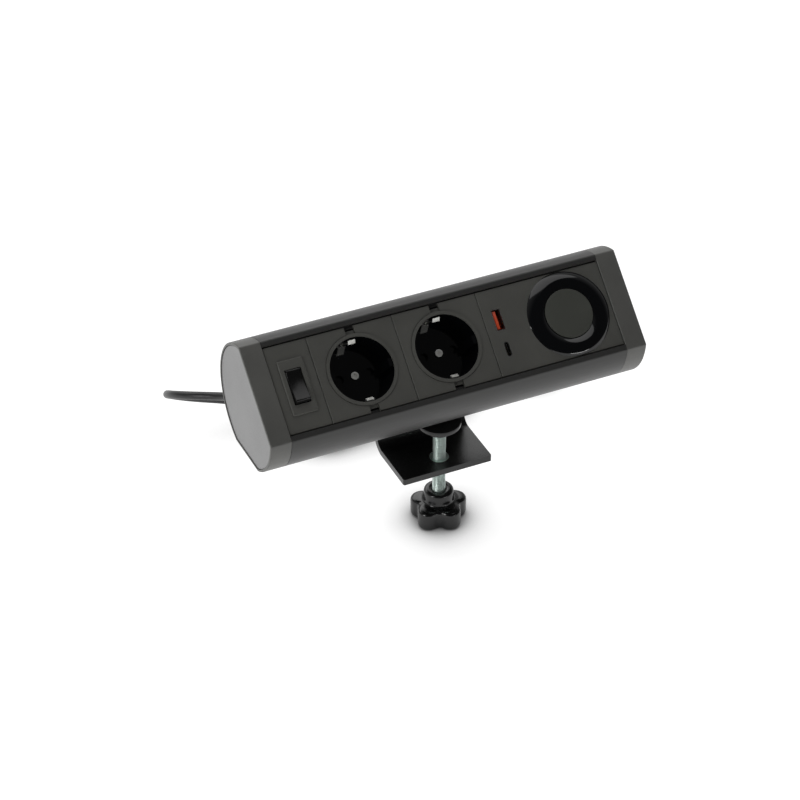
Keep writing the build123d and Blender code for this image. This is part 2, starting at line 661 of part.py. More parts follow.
def cord_tail():
    route = [(40.0, 130.0, -61.9), (58.0, 129.6, -60.7), (72.0, 122.6, -57.1), PLUG_START]
    return cord_tube(route, "cord_tail")


def cord_hank():
    low, high = HANK_Y
    middle = Pos(sum(HANK_SPAN) / 2, (low + high) / 2)
    outline = middle * SlotOverall(HANK_SPAN[1] - HANK_SPAN[0], high - low)
    solid = upright(outline, FLOOR_Z, FLOOR_Z + HANK_HEIGHT)
    return solid


def hank_tie():
    """A strap over the middle of the hank and down its two sides."""
    low, high = HANK_Y
    top = FLOOR_Z + HANK_HEIGHT
    outer = [(low - TIE_THICK, FLOOR_Z), (low - TIE_THICK, top + TIE_THICK),
             (high + TIE_THICK, top + TIE_THICK), (high + TIE_THICK, FLOOR_Z)]
    strap = polygon(*outer, (high, FLOOR_Z), (high, top), (low, top), (low, FLOOR_Z))
    middle = sum(HANK_SPAN) / 2
    return prism(strap, middle - TIE_WIDTH / 2, middle + TIE_WIDTH / 2)


def plug_body():
    """A straight plug: a tapered tail, a shoulder and a round body with two grip flats."""
    x, y, z = PLUG_START
    profile = polygon((0, 0), (0, CORD_R + 1.0), (PLUG_TAIL, 6.0), (PLUG_TAIL + 10, PLUG_R),
                      (PLUG_LENGTH, PLUG_R), (PLUG_LENGTH, 0))
    body = revolve(profile, axis=Axis.X, revolution_arc=360)
    for side in (-1, 1):
        body -= Pos(PLUG_LENGTH - 6.0, side * (PLUG_R + 0.6), 0) * Box(30.0, 4.0, 8.0)
        body -= Pos(PLUG_LENGTH, 0, side * PIN_OFFSET) * Rot(0, 90, 0) * Cylinder(PLUG_PIN_R, 20.0)
    return Pos(x, y, z) * body


def plug_pins():
    x, y, z = PLUG_START
    pins = []
    for side in (-1, 1):
        length = PLUG_PIN_LENGTH + 10.0
        pin = Rot(0, 90, 0) * Cylinder(PLUG_PIN_R, length)
        pin = fillet(pin.edges().sort_by(Axis.X)[-1:], 1.5)
        pins.append(Pos(x + PLUG_LENGTH - 10.0 + length / 2, y, z + side * PIN_OFFSET) * pin)
    return Compound(pins)


def main():
    os.makedirs("parts", exist_ok=True)
    nodes = {
        "housing_profile": housing_profile(),
        "right_end_cap": end_cap(),
        "left_end_cap": mirror(end_cap(), Plane.YZ),
        "right_end_plate": end_plate(),
        "left_end_plate": mirror(end_plate(), Plane.YZ),
        "end_cap_screws": end_cap_screws(),
        "switch_plate": switch_plate(),
        "switch_frame": switch_frame(),
        "rocker": rocker(),
        "switch_terminals": switch_terminals(),
        "bus_bars": bus_bars(),
        "charger_plate": charger_plate(),
        "charger_ring": charger_ring(),
        "charger_disc": charger_disc(),
        "charger_carrier": charger_carrier(),
        "charger_coil": charger_coil(),
        "ferrite_sheet": ferrite_sheet(),
        "charger_board": charger_board(),
        "usb_a_shell": usb_a_shell(),
        "usb_a_tongue": usb_a_tongue(),
        "usb_c_shell": usb_c_shell(),
        "usb_c_tongue": usb_c_tongue(),
        "usb_board": usb_board(),
        "power_supply": power_supply(),
        "clamp_bracket": clamp_bracket(),
        "jaw_pad": jaw_pad(),
        "bracket_screws": bracket_screws(),
        "nut_plate": nut_plate(),
        "thread_bush": thread_bush(),
        "clamp_screw": clamp_screw(),
        "pad_cup": pad_cup(),
        "pressure_pad": pressure_pad(),
        "pad_rubber": pad_rubber(),
        "knob": knob(),
        "knob_insert": knob_insert(),
        "cable_gland": cable_gland(),
        "mains_cord": mains_cord(),
        "cord_tail": cord_tail(),
        "cord_hank": cord_hank(),
        "hank_tie": hank_tie(),
        "plug_body": plug_body(),
        "plug_pins": plug_pins(),
    }
    for number, span in enumerate(SOCKET_SPANS, start=1):
        x = sum(span) / 2
        nodes[f"socket_plate_{number}"] = socket_plate(span)
        nodes[f"socket_bezel_{number}"] = socket_bezel(x)
        nodes[f"socket_well_{number}"] = socket_well(x)
        nodes[f"socket_screw_{number}"] = socket_screw(x)
        nodes[f"earth_clip_{number}"] = earth_clip(x)
        nodes[f"shutter_{number}"] = shutter(x)
        nodes[f"pin_contacts_{number}"] = pin_contacts(x)
        nodes[f"socket_base_{number}"] = socket_base(x)
    for name, shape in nodes.items():
        export_step(shape, f"parts/{name}.step")


main()
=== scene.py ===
import json
import math

import bmesh
import bpy
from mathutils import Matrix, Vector


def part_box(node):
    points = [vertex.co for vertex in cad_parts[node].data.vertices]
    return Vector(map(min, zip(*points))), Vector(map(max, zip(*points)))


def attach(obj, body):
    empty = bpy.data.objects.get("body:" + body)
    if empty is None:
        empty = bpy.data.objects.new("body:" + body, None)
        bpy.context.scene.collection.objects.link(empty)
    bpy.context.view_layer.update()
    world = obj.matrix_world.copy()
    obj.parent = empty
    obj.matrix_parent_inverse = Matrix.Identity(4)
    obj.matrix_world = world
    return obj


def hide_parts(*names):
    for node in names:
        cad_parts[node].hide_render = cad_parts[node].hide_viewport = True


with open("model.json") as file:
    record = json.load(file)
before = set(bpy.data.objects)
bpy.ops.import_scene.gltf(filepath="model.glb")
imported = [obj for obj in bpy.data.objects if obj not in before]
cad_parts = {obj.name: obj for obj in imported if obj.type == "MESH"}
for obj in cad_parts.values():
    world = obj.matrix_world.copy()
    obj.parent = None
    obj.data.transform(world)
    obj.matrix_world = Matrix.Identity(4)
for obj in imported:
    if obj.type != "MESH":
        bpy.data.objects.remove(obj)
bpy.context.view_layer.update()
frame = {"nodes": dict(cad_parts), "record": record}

MM = 0.001
MOUNTS = {mount["name"]: mount for mount in frame["record"]["mounts"]}
OUT = Vector(MOUNTS["charging_surface"]["axis"])
ALONG = Vector((1, 0, 0))
UP = OUT.cross(ALONG)
FLOOR_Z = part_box("knob")[0].z

# ---------------------------------------------------------------- camera, light and floor

AZIMUTH = math.radians(-24.86)
ELEVATION = math.radians(36.23)
DISTANCE = 1.59908
TARGET = Vector((-0.04513, -0.04147, 0.05408))
SENSOR = 36.0
LENS = 126.58
VIEW_END = 20.0
ROOM_FRONT = 0.05
ROOM_BACK = 0.6
LIGHTS = (
    ("softbox_back", (-0.1, 1.5, 1.15), (2.2, 0.9), 11.0),
    ("softbox_left", (-1.6, -0.5, 0.6), (0.5, 0.7), 8.0),
    ("softbox_top", (0.3, 0.4, 1.9), (2.2, 1.4), 11.0),
    ("strip_front", (0.5, -1.2, 0.01), (0.6, 0.05), 0.9),
)
LIGHTS_AIM = (0.0, 0.0, 0.04)
FLOOR_HALF_SIDE = 4.0
FLOOR_CLEARANCE = 0.0001
FLOOR_GLOW = 0.92
SHADOW_REACH = 0.03
SHADOW_DEPTH = 2.5


def place_camera():
    back = Vector((math.sin(AZIMUTH) * math.cos(ELEVATION), -math.cos(AZIMUTH) * math.cos(ELEVATION),
                   math.sin(ELEVATION)))
    data = bpy.data.cameras.new("camera")
    data.lens = LENS
    data.sensor_width = SENSOR
    data.clip_end = VIEW_END
    camera = bpy.data.objects.new("camera", data)
    camera.location = TARGET + back * DISTANCE
    camera.rotation_euler = back.to_track_quat("Z", "Y").to_euler()
    bpy.context.scene.collection.objects.link(camera)
    bpy.context.scene.camera = camera


def area_light(name, location, aim, size, power):
    data = bpy.data.lights.new(name, "AREA")
    data.shape = "RECTANGLE"
    data.size, data.size_y = size
    data.energy = power
    light = bpy.data.objects.new(name, data)
    light.location = location
    light.rotation_euler = (Vector(location) - Vector(aim)).to_track_quat("Z", "Y").to_euler()
    bpy.context.scene.collection.objects.link(light)


def light_studio():
    """A room lighter at the back, softboxes behind, above and at the left, and a low strip in front."""
    world = bpy.data.worlds.new("studio")
    world.use_nodes = True
    tree = world.node_tree
    background = tree.nodes["Background"]
    coordinates = tree.nodes.new("ShaderNodeTexCoord")
    axes = tree.nodes.new("ShaderNodeSeparateXYZ")
    ramp = tree.nodes.new("ShaderNodeValToRGB")
    front, back = ramp.color_ramp.elements
    front.position, back.position = 0.35, 0.95
    front.color = (ROOM_FRONT, ROOM_FRONT, ROOM_FRONT, 1)
    back.color = (ROOM_BACK, ROOM_BACK, ROOM_BACK, 1)
    shift = tree.nodes.new("ShaderNodeMapRange")
    shift.inputs["From Min"].default_value = -1.0
    tree.links.new(coordinates.outputs["Generated"], axes.inputs["Vector"])
    tree.links.new(axes.outputs["Y"], shift.inputs["Value"])
    tree.links.new(shift.outputs["Result"], ramp.inputs["Fac"])
    tree.links.new(ramp.outputs["Color"], background.inputs["Color"])
    background.inputs["Strength"].default_value = 1.0
    bpy.context.scene.world = world
    for name, place, size, power in LIGHTS:
        area_light(name, place, LIGHTS_AIM, size, power)
    bpy.context.scene.view_settings.view_transform = "Standard"


def lay_floor():
    """A white floor that glows evenly, with a painted shadow: its glow is darkened close to what stands on
    it.
    """
    side = FLOOR_HALF_SIDE
    corners = [(-side, -side, 0), (side, -side, 0), (side, side, 0), (-side, side, 0)]
    mesh = bpy.data.meshes.new("floor")
    mesh.from_pydata(corners, [], [(0, 1, 2, 3)])
    floor = bpy.data.objects.new("floor", mesh)
    floor.location.z = FLOOR_Z - FLOOR_CLEARANCE
    bpy.context.scene.collection.objects.link(floor)
    material = plastic("floor_white_painted_shadow", (0.3, 0.3, 0.3), 0.7, spread=0.01)
    tree = material.node_tree
    shader = tree.nodes["Principled BSDF"]
    # painted shadow: ambient occlusion, raised to a power, darkens the floor's glow near things that stand on
    # it
    painted_shadow = tree.nodes.new("ShaderNodeAmbientOcclusion")
    painted_shadow.inputs["Distance"].default_value = SHADOW_REACH
    deepen = tree.nodes.new("ShaderNodeMath")
    deepen.operation = "POWER"
    deepen.inputs[1].default_value = SHADOW_DEPTH
    tree.links.new(painted_shadow.outputs["AO"], deepen.inputs[0])
    tree.links.new(deepen.outputs["Value"], shader.inputs["Emission Color"])
    shader.inputs["Emission Strength"].default_value = FLOOR_GLOW
    mesh.materials.append(material)


# ---------------------------------------------------------------- materials

def linear(red, green, blue):
    """A colour given in display values from 0 to 255, as the linear values a shader takes."""
    def channel(value):
        share = value / 255
        return share / 12.92 if share <= 0.04045 else ((share + 0.055) / 1.055) ** 2.4
    return channel(red), channel(green), channel(blue)


def noise_node(tree, scale, detail, stretch):
    """Noise in the object's own metres, drawn out along an axis where stretch is below 1."""
    coordinates = tree.nodes.new("ShaderNodeTexCoord")
    mapping = tree.nodes.new("ShaderNodeMapping")
    mapping.inputs["Scale"].default_value = stretch
    noise = tree.nodes.new("ShaderNodeTexNoise")
    noise.inputs["Scale"].default_value = scale
    noise.inputs["Detail"].default_value = detail
    tree.links.new(coordinates.outputs["Object"], mapping.inputs["Vector"])
    tree.links.new(mapping.outputs["Vector"], noise.inputs["Vector"])
    return noise


def plastic(name, color, roughness, spread=0.12, rough_spread=0.06, grain=0.0, grain_size=0.0005,
            stretch=(1, 1, 1), patch_size=0.03, metallic=0.0, specular=0.5):
    """A surface with patchy colour and roughness over a fine grain. Metals and rubbers use it too."""
    material = bpy.data.materials.new(name)
    material.use_nodes = True
    tree = material.node_tree
    shader = tree.nodes["Principled BSDF"]
    shader.inputs["Metallic"].default_value = metallic
    shader.inputs["Specular IOR Level"].default_value = specular
    patches = noise_node(tree, 1 / patch_size, 4.0, stretch)
    ramp = tree.nodes.new("ShaderNodeValToRGB")
    low, high = ramp.color_ramp.elements
    low.position, high.position = 0.3, 0.7
    low.color = (*[c * (1 - spread) for c in color], 1)
    high.color = (*[c * (1 + spread) for c in color], 1)
    tree.links.new(patches.outputs["Fac"], ramp.inputs["Fac"])
    tree.links.new(ramp.outputs["Color"], shader.inputs["Base Color"])
    fine = noise_node(tree, 1 / grain_size, 3.0, stretch)
    rough = tree.nodes.new("ShaderNodeMapRange")
    rough.inputs["From Min"].default_value = 0.3
    rough.inputs["From Max"].default_value = 0.7
    rough.inputs["To Min"].default_value = roughness - rough_spread
    rough.inputs["To Max"].default_value = roughness + rough_spread
    source = fine if grain else patches
    tree.links.new(source.outputs["Fac"], rough.inputs["Value"])
    tree.links.new(rough.outputs["Result"], shader.inputs["Roughness"])
    if grain:
        bump = tree.nodes.new("ShaderNodeBump")
        bump.inputs["Strength"].default_value = 1.0
        bump.inputs["Distance"].default_value = grain
        tree.links.new(fine.outputs["Fac"], bump.inputs["Height"])
        tree.links.new(bump.outputs["Normal"], shader.inputs["Normal"])
    return material


def make_materials():
    """One material for each slot of the record."""
    return {
        "black_profile": plastic("black_profile", linear(48, 48, 47), 0.42, grain=0.00001, grain_size=0.0004,
                                 stretch=(0.04, 1, 1), rough_spread=0.05, specular=0.4),
        "cap_plastic": plastic("cap_plastic", linear(86, 86, 83), 0.46, grain=0.00003, grain_size=0.0006),
        "end_plate_grey": plastic("end_plate_grey", linear(117, 117, 117), 0.35, spread=0.07, grain=0.00001,
                                  grain_size=0.0005, metallic=0.4),
        "plate_plastic": plastic("plate_plastic", linear(76, 76, 72), 0.55, grain=0.00005, grain_size=0.0006),
        "gloss_black": plastic("gloss_black", linear(4, 5, 7), 0.08, rough_spread=0.02),
        "rocker_plastic": plastic("rocker_plastic", linear(14, 14, 14), 0.22, grain=0.00001, specular=0.35),
        "disc_rubber": plastic("disc_rubber", linear(62, 64, 58), 0.6, grain=0.00003, grain_size=0.0004),
        "contact_metal": plastic("contact_metal", linear(240, 240, 235), 0.5, metallic=1.0, spread=0.05),
        "brass": plastic("brass", linear(215, 180, 105), 0.28, metallic=1.0, spread=0.08),
        "copper": plastic("copper", linear(205, 125, 85), 0.3, metallic=1.0, grain=0.00005),
        "ferrite": plastic("ferrite", linear(66, 66, 70), 0.6, grain=0.00003),
        "board_green": plastic("board_green", linear(30, 95, 60), 0.4, spread=0.2, patch_size=0.003),
        "white_moulding": plastic("white_moulding", linear(222, 220, 212), 0.45, spread=0.03, grain=0.00002),
        "usb_orange": plastic("usb_orange", linear(225, 84, 52), 0.35, spread=0.06, grain=0.00001),
        "usb_steel": plastic("usb_steel", linear(190, 190, 188), 0.28, metallic=1.0, spread=0.05),
        "black_steel": plastic("black_steel", linear(22, 22, 22), 0.32, grain=0.00002, grain_size=0.0007),
        "zinc": plastic("zinc", linear(228, 242, 236), 0.4, metallic=1.0, spread=0.04, patch_size=0.004),
        "seat_rubber": plastic("seat_rubber", linear(32, 32, 32), 0.65, grain=0.00004),
        "knob_plastic": plastic("knob_plastic", linear(10, 10, 11), 0.2, patch_size=0.008),
        "cord_jacket": plastic("cord_jacket", linear(24, 24, 25), 0.38, grain=0.00002, grain_size=0.0008),
        "plug_plastic": plastic("plug_plastic", linear(34, 34, 35), 0.42, grain=0.00003),
    }


# ---------------------------------------------------------------- mesh helpers

def finish_mesh(name, vertices, faces, material_slot, body, smooth_angle=math.radians(35)):
    """A shown piece from vertices in metres, with its material and the body it rides on."""
    mesh = bpy.data.meshes.new(name)
    mesh.from_pydata(vertices, [], faces)
    work = bmesh.new()
    work.from_mesh(mesh)
    bmesh.ops.recalc_face_normals(work, faces=work.faces)
    work.to_mesh(mesh)
    work.free()
    mesh.shade_smooth()
    mesh.set_sharp_from_angle(angle=smooth_angle)
    mesh.materials.append(MATERIALS[material_slot])
    piece = bpy.data.objects.new(name, mesh)
    bpy.context.scene.collection.objects.link(piece)
    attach(piece, body)
    return piece


def skin(rings, close_ends=True):
    """Vertices and faces of a surface through rings of points, all rings alike in number."""
    count = len(rings[0])
    vertices = [point for ring in rings for point in ring]
    faces = []
    for row in range(len(rings) - 1):
        for column in range(count):
            after = (column + 1) % count
            faces.append((row * count + column, row * count + after,
                          (row + 1) * count + after, (row + 1) * count + column))
    if close_ends:
        faces.append(tuple(range(count)))
        faces.append(tuple((len(rings) - 1) * count + column for column in range(count)))
    return vertices, faces


def lathe(name, profile, origin, axis, material_slot, body, steps=72):
    """A turned piece: profile is (distance along the axis, radius) in millimetres."""
    axis = Vector(axis).normalized()
    side = axis.orthogonal().normalized()
    other = axis.cross(side)
    rings = []
    for distance, radius in profile:
        centre = Vector(origin) + axis * distance * MM
        rings.append([centre + (side * math.cos(a) + other * math.sin(a)) * radius * MM
                      for a in (math.tau * step / steps for step in range(steps))])
    vertices, faces = skin(rings)
    return finish_mesh(name, vertices, faces, material_slot, body)


# ---------------------------------------------------------------- mains lead

CORD_DIAMETER = 0.0052
CORD_EXIT = (-0.099, 0.0592, 0.0059)
LEAD_POINTS = [
    CORD_EXIT,
    (-0.099, 0.08268, -0.00934),
    (-0.127, 0.1055, -0.0148),
    (-0.1277, 0.1313, -0.0305),
    (-0.1065, 0.1415, -0.0469),
    (-0.0775, 0.1325, -0.0520),
    (-0.0580, 0.1310, -0.0645),
    (-0.0360, 0.1300, -0.0718),
]
TAIL_POINTS = [
    (0.040, 0.1300, -0.0619),
    (0.058, 0.1296, -0.0607),
    (0.072, 0.1226, -0.0571),
    (0.086, 0.1220, -0.0565),
]
HANK_MIDDLE = Vector((0.007, 0.1095, 0.0))
HANK_HALF_RUN = 0.0375
HANK_COLUMNS = (0.0215, 0.0162)
HANK_LAYER = 0.00525
HANK_TURNS = ((0, 0), (1, 0), (1, 1), (0, 1), (1, 2), (0, 2))
HANK_WAIST = 0.0072
HANK_STEPS = 32
HANK_LIFT = 0.0015
HANK_LAST_TURN = 0.22
HANK_CHANGE = 0.76
TIE_WIDTH = 0.0095
TIE_THICK = 0.0009
TIE_SLACK = 0.00025
TIE_CORNER = 0.0018
TIE_CORNER_STEPS = 8
RELIEF_LENGTH = 24.0
RELIEF_GROOVES = 6


def waist(x):
    """How far the tie pulls a run towards the hank's middle line at a distance x from the tie."""
    reach = HANK_HALF_RUN + 0.001
    return HANK_WAIST * math.cos(math.pi / 2 * min(abs(x) / reach, 1)) ** 2


def lift(x):
    """How far a run rises to lie over the strap that passes under it."""
    return HANK_LIFT * math.cos(math.pi / 2 * min(abs(x) / HANK_HALF_RUN, 1)) ** 2


def hank_shape(share, radius):
    """A point on a turn, share going 0 to 1 from the back run's left end, in plan."""
    run, bend = 2 * HANK_HALF_RUN, math.pi * radius
    distance = share * 2 * (run + bend)
    if distance < run:
        x = distance - HANK_HALF_RUN
        return x, radius - waist(x)
    if distance < run + bend:
        angle = (distance - run) / radius
        return HANK_HALF_RUN + radius * math.sin(angle), radius * math.cos(angle)
    if distance < 2 * run + bend:
        x = HANK_HALF_RUN - (distance - run - bend)
        return x, -radius + waist(x)
    angle = (distance - 2 * run - bend) / radius
    return -HANK_HALF_RUN - radius * math.sin(angle), -radius * math.cos(angle)


def hank_points():
    """The folded turns: each turn keeps its own column and layer and moves to the next at its left end."""
    points = []
    low = FLOOR_Z + CORD_DIAMETER / 2
    last = len(HANK_TURNS) - 1
    for number, (column, layer) in enumerate(HANK_TURNS):
        after = HANK_TURNS[min(number + 1, last)]
        steps = HANK_STEPS if number < last else round(HANK_STEPS * HANK_LAST_TURN)
        for step in range(steps):
            share = (step + 0.5) / HANK_STEPS
            blend = min(max((share - HANK_CHANGE) / (1 - HANK_CHANGE), 0), 1)
            blend = blend * blend * (3 - 2 * blend)
            radius = HANK_COLUMNS[column] * (1 - blend) + HANK_COLUMNS[after[0]] * blend
            height = (layer * (1 - blend) + after[1] * blend) * HANK_LAYER
            x, y = hank_shape(share, radius)
            points.append(Vector((HANK_MIDDLE.x + x, HANK_MIDDLE.y + y,
                                  low + height + lift(x))))
    return points


def make_lead():
    """The whole lead as one smooth curve: to the floor, round the hank and on to the plug."""
    route = [Vector(p) for p in LEAD_POINTS] + hank_points() + [Vector(p) for p in TAIL_POINTS]
    data = bpy.data.curves.new("mains_lead", "CURVE")
    data.dimensions = "3D"
    spline = data.splines.new("NURBS")
    spline.points.add(len(route) - 1)
    for point, place in zip(spline.points, route):
        point.co = (*place, 1)
    spline.order_u = 3
    spline.use_endpoint_u = True
    data.resolution_u = 10
    data.bevel_depth = CORD_DIAMETER / 2
    data.bevel_resolution = 6
    data.use_fill_caps = True
    data.materials.append(MATERIALS["cord_jacket"])
    lead = bpy.data.objects.new("mains_lead", data)
    bpy.context.scene.collection.objects.link(lead)
    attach(lead, "root")
    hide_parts("mains_cord", "cord_tail", "cord_hank")
    return lead


def make_strain_relief():
    """A collar against the housing and a tapered sleeve with grooves round it."""
    exit_point = Vector(CORD_EXIT)
    direction = (Vector(LEAD_POINTS[1]) - exit_point).normalized()
    length = RELIEF_LENGTH
    profile = [(-3.0, 4.9), (0.4, 4.9), (0.4, 6.3), (0.7, 6.5), (3.6, 6.5), (4.0, 6.2), (4.0, 4.7)]
    pitch = (length - 6.0) / RELIEF_GROOVES
    for groove in range(RELIEF_GROOVES):
        start = 4.5 + groove * pitch
        radius = 4.7 - 1.3 * groove / RELIEF_GROOVES
        profile += [(start, radius), (start + pitch * 0.55, radius - 0.12),
                    (start + pitch * 0.62, radius - 0.7), (start + pitch * 0.92, radius - 0.75)]
    profile += [(length - 1.0, 3.3), (length - 0.3, 3.1), (length, 2.7)]
    start = exit_point - direction * length * MM
    sleeve = lathe("strain_relief", profile, start, direction, "seat_rubber", "root")
    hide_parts("cable_gland")
    return sleeve


def surface_points(piece):
    """The points of a piece's surface as it is drawn."""
    shown = piece.evaluated_get(bpy.context.evaluated_depsgraph_get())
    points = [piece.matrix_world @ vertex.co for vertex in shown.to_mesh().vertices]
    shown.to_mesh_clear()
    return points


def make_tie(lead):
    """A soft strap closed round both bundles, sized on the part of the lead that it holds."""
    held = [place for place in surface_points(lead)
            if abs(place.x - HANK_MIDDLE.x) < TIE_WIDTH / 2 + CORD_DIAMETER / 4]
    back = max(place.y for place in held) + TIE_SLACK
    front = min(place.y for place in held) - TIE_SLACK
    high = max(place.z for place in held) + TIE_SLACK
    low = min(place.z for place in held) - TIE_SLACK
    corner = TIE_CORNER

    def loop(grow, x):
        points = []
        for edge_y, edge_z, start in ((back, high, 0), (front, high, 90),
                                      (front, low, 180), (back, low, 270)):
            side_y, side_z = 1 if edge_y == back else -1, 1 if edge_z == high else -1
            for step in range(TIE_CORNER_STEPS + 1):
                angle = math.radians(start + 90 * step / TIE_CORNER_STEPS)
                y = edge_y - side_y * corner + (corner + grow) * math.cos(angle)
                z = edge_z - side_z * corner + (corner + grow) * math.sin(angle)
                points.append(Vector((HANK_MIDDLE.x + x, y, z)))
        return points

    half = TIE_WIDTH / 2
    rings = [loop(0, -half), loop(TIE_THICK, -half), loop(TIE_THICK, half), loop(0, half),
             loop(0, -half)]
    vertices, faces = skin(rings, close_ends=False)
    tie = finish_mesh("tie_strap", vertices, faces, "seat_rubber", "root")
    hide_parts("hank_tie")
    return tie


def make_plug():
    """A straight moulded plug: ribbed tail, shoulder, round body with a grip and a flat face."""
    tail = [(0.0, 2.7), (0.3, 3.5)]
    for rib in range(4):
        start = 1.2 + rib * 3.0
        radius = 3.6 + rib * 0.55
        tail += [(start, radius), (start + 1.7, radius + 0.3),
                 (start + 1.9, radius - 0.5), (start + 2.9, radius - 0.4)]
    body = [(14.0, 6.4), (16.0, 7.8), (19.0, 11.5), (21.5, 15.2), (23.5, 17.4), (25.0, 18.2),
            (27.0, 18.5), (40.6, 18.5), (41.5, 18.2), (42.0, 17.5), (42.0, 16.4), (41.3, 16.2),
            (41.3, 4.0)]
    plug = lathe("plug_shell", tail + body, TAIL_POINTS[-1], ALONG, "plug_plastic", "root", steps=96)
    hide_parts("plug_body")
    return plug


# ---------------------------------------------------------------- clamp screw and knob

THREAD_PITCH = 1.25
THREAD_DEPTH = 0.62
SCREW_RADIUS = 4.0
SCREW_LOW = -70.0
SCREW_SHOULDER = -12.0
SCREW_STEPS = 40
ROWS_PER_TURN = 9
TAPER_LENGTH = 1.2
NECK_RADIUS = 2.6


def thread_radius(height, angle):
    """The radius of a right-hand V thread with a flat crest and a rounded root, in millimetres."""
    phase = (height / THREAD_PITCH - angle / math.tau) % 1.0
    ridge = 1 - abs(2 * phase - 1)
    return SCREW_RADIUS - THREAD_DEPTH * (1 - min(1.0, ridge * 1.25)) ** 0.9


def ring_at(height, radius, steps):
    """A level circle of points round the screw's axis, in millimetres."""
    return [Vector((radius * math.cos(a), radius * math.sin(a), height)) * MM
            for a in (math.tau * step / steps for step in range(steps))]


def make_screw():
    """The threaded rod, its thread running out just below a plain neck."""
    rows = int((SCREW_SHOULDER - SCREW_LOW) / THREAD_PITCH * ROWS_PER_TURN) + 1
    heights = [SCREW_LOW + row * THREAD_PITCH / ROWS_PER_TURN for row in range(rows)]
    rings = []
    for height in heights:
        taper = min(1.0, max(0.0, (SCREW_SHOULDER - height) / TAPER_LENGTH))
        ring = []
        for step in range(SCREW_STEPS):
            angle = math.tau * step / SCREW_STEPS
            radius = thread_radius(height, angle) * (0.86 + 0.14 * taper)
            ring.append(Vector((radius * math.cos(angle), radius * math.sin(angle), height)) * MM)
        rings.append(ring)
    for height, radius in ((SCREW_SHOULDER + 0.01, NECK_RADIUS), (-7.6, NECK_RADIUS), (-7.2, 2.2)):
        rings.append(ring_at(height, radius, SCREW_STEPS))
    vertices, faces = skin(rings)
    screw = finish_mesh("threaded_rod", vertices, faces, "zinc", "screw", math.radians(50))
    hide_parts("clamp_screw")


KNOB_LOBES = 5
KNOB_LOBE_ANGLE = math.radians(283.2)
KNOB_LOBE_CIRCLE = 11.0
KNOB_LOBE_RADIUS = 6.6
KNOB_CORE = 13.4
KNOB_SMOOTHING = 2.2
KNOB_LOW = -75.0
KNOB_LOBE_TOP = -62.1
KNOB_HUB_TOP = -53.2
KNOB_STEPS = 180


def star_radius(angle):
    """The knob's outline: five round lobes melted into a round core."""
    step = math.tau / KNOB_LOBES
    offset = (angle - KNOB_LOBE_ANGLE + step / 2) % step - step / 2
    reach = KNOB_LOBE_RADIUS ** 2 - (KNOB_LOBE_CIRCLE * math.sin(offset)) ** 2
    lobe = KNOB_LOBE_CIRCLE * math.cos(offset) + math.sqrt(reach) if reach > 0 else 0.0
    total = math.exp(KNOB_SMOOTHING * (lobe - KNOB_CORE)) + 1.0
    return KNOB_CORE + math.log(total) / KNOB_SMOOTHING


def make_knob():
    """A five-lobed grip with rounded rims, flowing into a hub with a dished top."""
    low, lobe_top, hub_top = KNOB_LOW, KNOB_LOBE_TOP, KNOB_HUB_TOP
    angles = [math.tau * step / KNOB_STEPS for step in range(KNOB_STEPS)]
    star = [star_radius(angle) for angle in angles]

    def star_ring(height, inset):
        return [Vector(((r - inset) * math.cos(a), (r - inset) * math.sin(a), height)) * MM
                for r, a in zip(star, angles)]

    def round_ring(height, radius):
        return ring_at(height, radius, KNOB_STEPS)

    def mixed_ring(height, inset, radius, share):
        return [p * (1 - share) + q * share
                for p, q in zip(star_ring(height, inset), round_ring(height, radius))]

    rim = [(0.0, 2.6), (0.12, 1.9), (0.45, 1.15), (1.0, 0.5), (1.8, 0.12), (2.8, 0.0)]
    foot = [(1.5, 0.5), (1.5, 6.6), (1.2, 7.0), (0.0, 7.3)]
    neck = [(0.7, 9.7), (1.6, 9.35), (3.0, 9.2)]
    hub = [(2.2, 9.2), (1.3, 9.0), (0.6, 8.6), (0.15, 7.8), (0.0, 7.0), (0.0, 5.2),
           (0.3, 4.7), (2.0, 4.5), (2.0, 0.5)]
    rings = [round_ring(low + rise, radius) for rise, radius in foot]
    rings += [star_ring(low + rise, inset) for rise, inset in rim]
    rings += [star_ring(lobe_top - drop, inset) for drop, inset in reversed(rim)]
    rings += [mixed_ring(lobe_top + 0.1, 3.2, 11.5, 0.5), mixed_ring(lobe_top + 0.25, 3.6, 10.6, 1.0)]
    rings += [round_ring(lobe_top + rise, radius) for rise, radius in neck]
    rings += [round_ring(hub_top - drop, radius) for drop, radius in hub]
    vertices, faces = skin(rings)
    knob = finish_mesh("star_knob", vertices, faces, "knob_plastic", "screw", math.radians(60))
    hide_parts("knob")


# ---------------------------------------------------------------- switch and ports

DISC_TOP = 0.9
FACE = Vector(MOUNTS["charging_surface"]["pos_m"]) - OUT * DISC_TOP * MM
FACE.x = 0.0
SWITCH_X = -94.5
ROCKER_WIDTH = 9.2
ROCKER_RADIUS = 10.4
ROCKER_PIVOT = -1.8
ROCKER_TILT = math.radians(-8.0)
ROCKER_HOLLOW_REACH = 9.3
ROCKER_HOLLOW_STEPS = 20
USB_X = 36.0
USB_A_UP = 7.4
USB_C_UP = -10.9
BOARD_TOP = -15.2


def face_point(x, up, out):
    """A point given in millimetres along the strip, up the front face and out of it."""
    return FACE + (ALONG * x + UP * up + OUT * out) * MM


